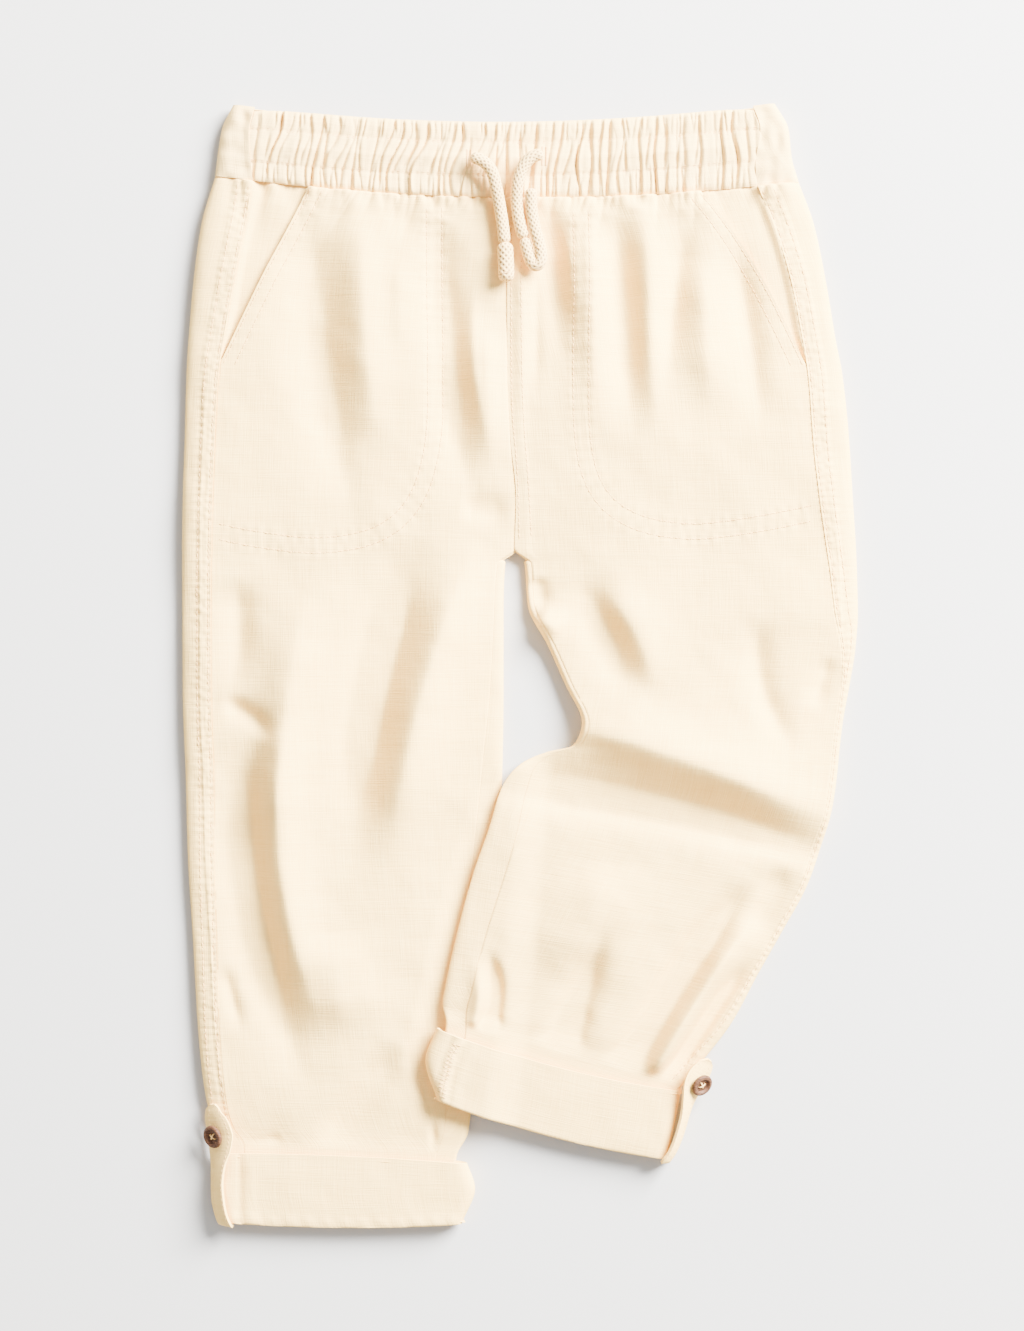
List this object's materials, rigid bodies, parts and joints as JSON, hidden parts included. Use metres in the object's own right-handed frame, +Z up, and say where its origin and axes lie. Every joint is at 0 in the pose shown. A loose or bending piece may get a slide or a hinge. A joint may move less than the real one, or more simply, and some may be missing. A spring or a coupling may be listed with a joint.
{
  "type": "child's linen drawstring trousers, laid flat",
  "caption": "Child's linen trousers laid flat: gathered elastic waist with drawcord, slant pockets, rolled hems held by buttoned tabs, one leg bent across the other.",
  "frame": {"origin": "on the surface that the trousers lie on, under the middle of their outline without the drawcord", "axes": "+Y from the hems to the waist, +X to the right of someone looking down at the front, +Z up out of the surface, away from the back"},
  "size_m": [0.337, 0.5599, 0.0171],
  "materials": {
    "linen": "matt, soft plain-weave linen in natural cream",
    "gathered_linen": "matt linen, gathered over elastic",
    "cord": "braided cotton",
    "button": "satin, dark coconut shell"
  },
  "bodies": {
    "root": {"waistband_front": "gathered_linen", "waistband_back": "gathered_linen", "front_right": "linen", "front_left": "linen", "back_right": "linen", "back_left": "linen", "pocket_facing_right": "linen", "pocket_facing_left": "linen", "cuff_right": "linen", "cuff_left": "linen", "tab_right": "linen", "tab_left": "linen", "button_right": "button", "button_left": "button", "drawcord_right": "cord", "drawcord_left": "cord", "cord_end_right": "cord", "cord_end_left": "cord"}
  },
  "joints": []
}
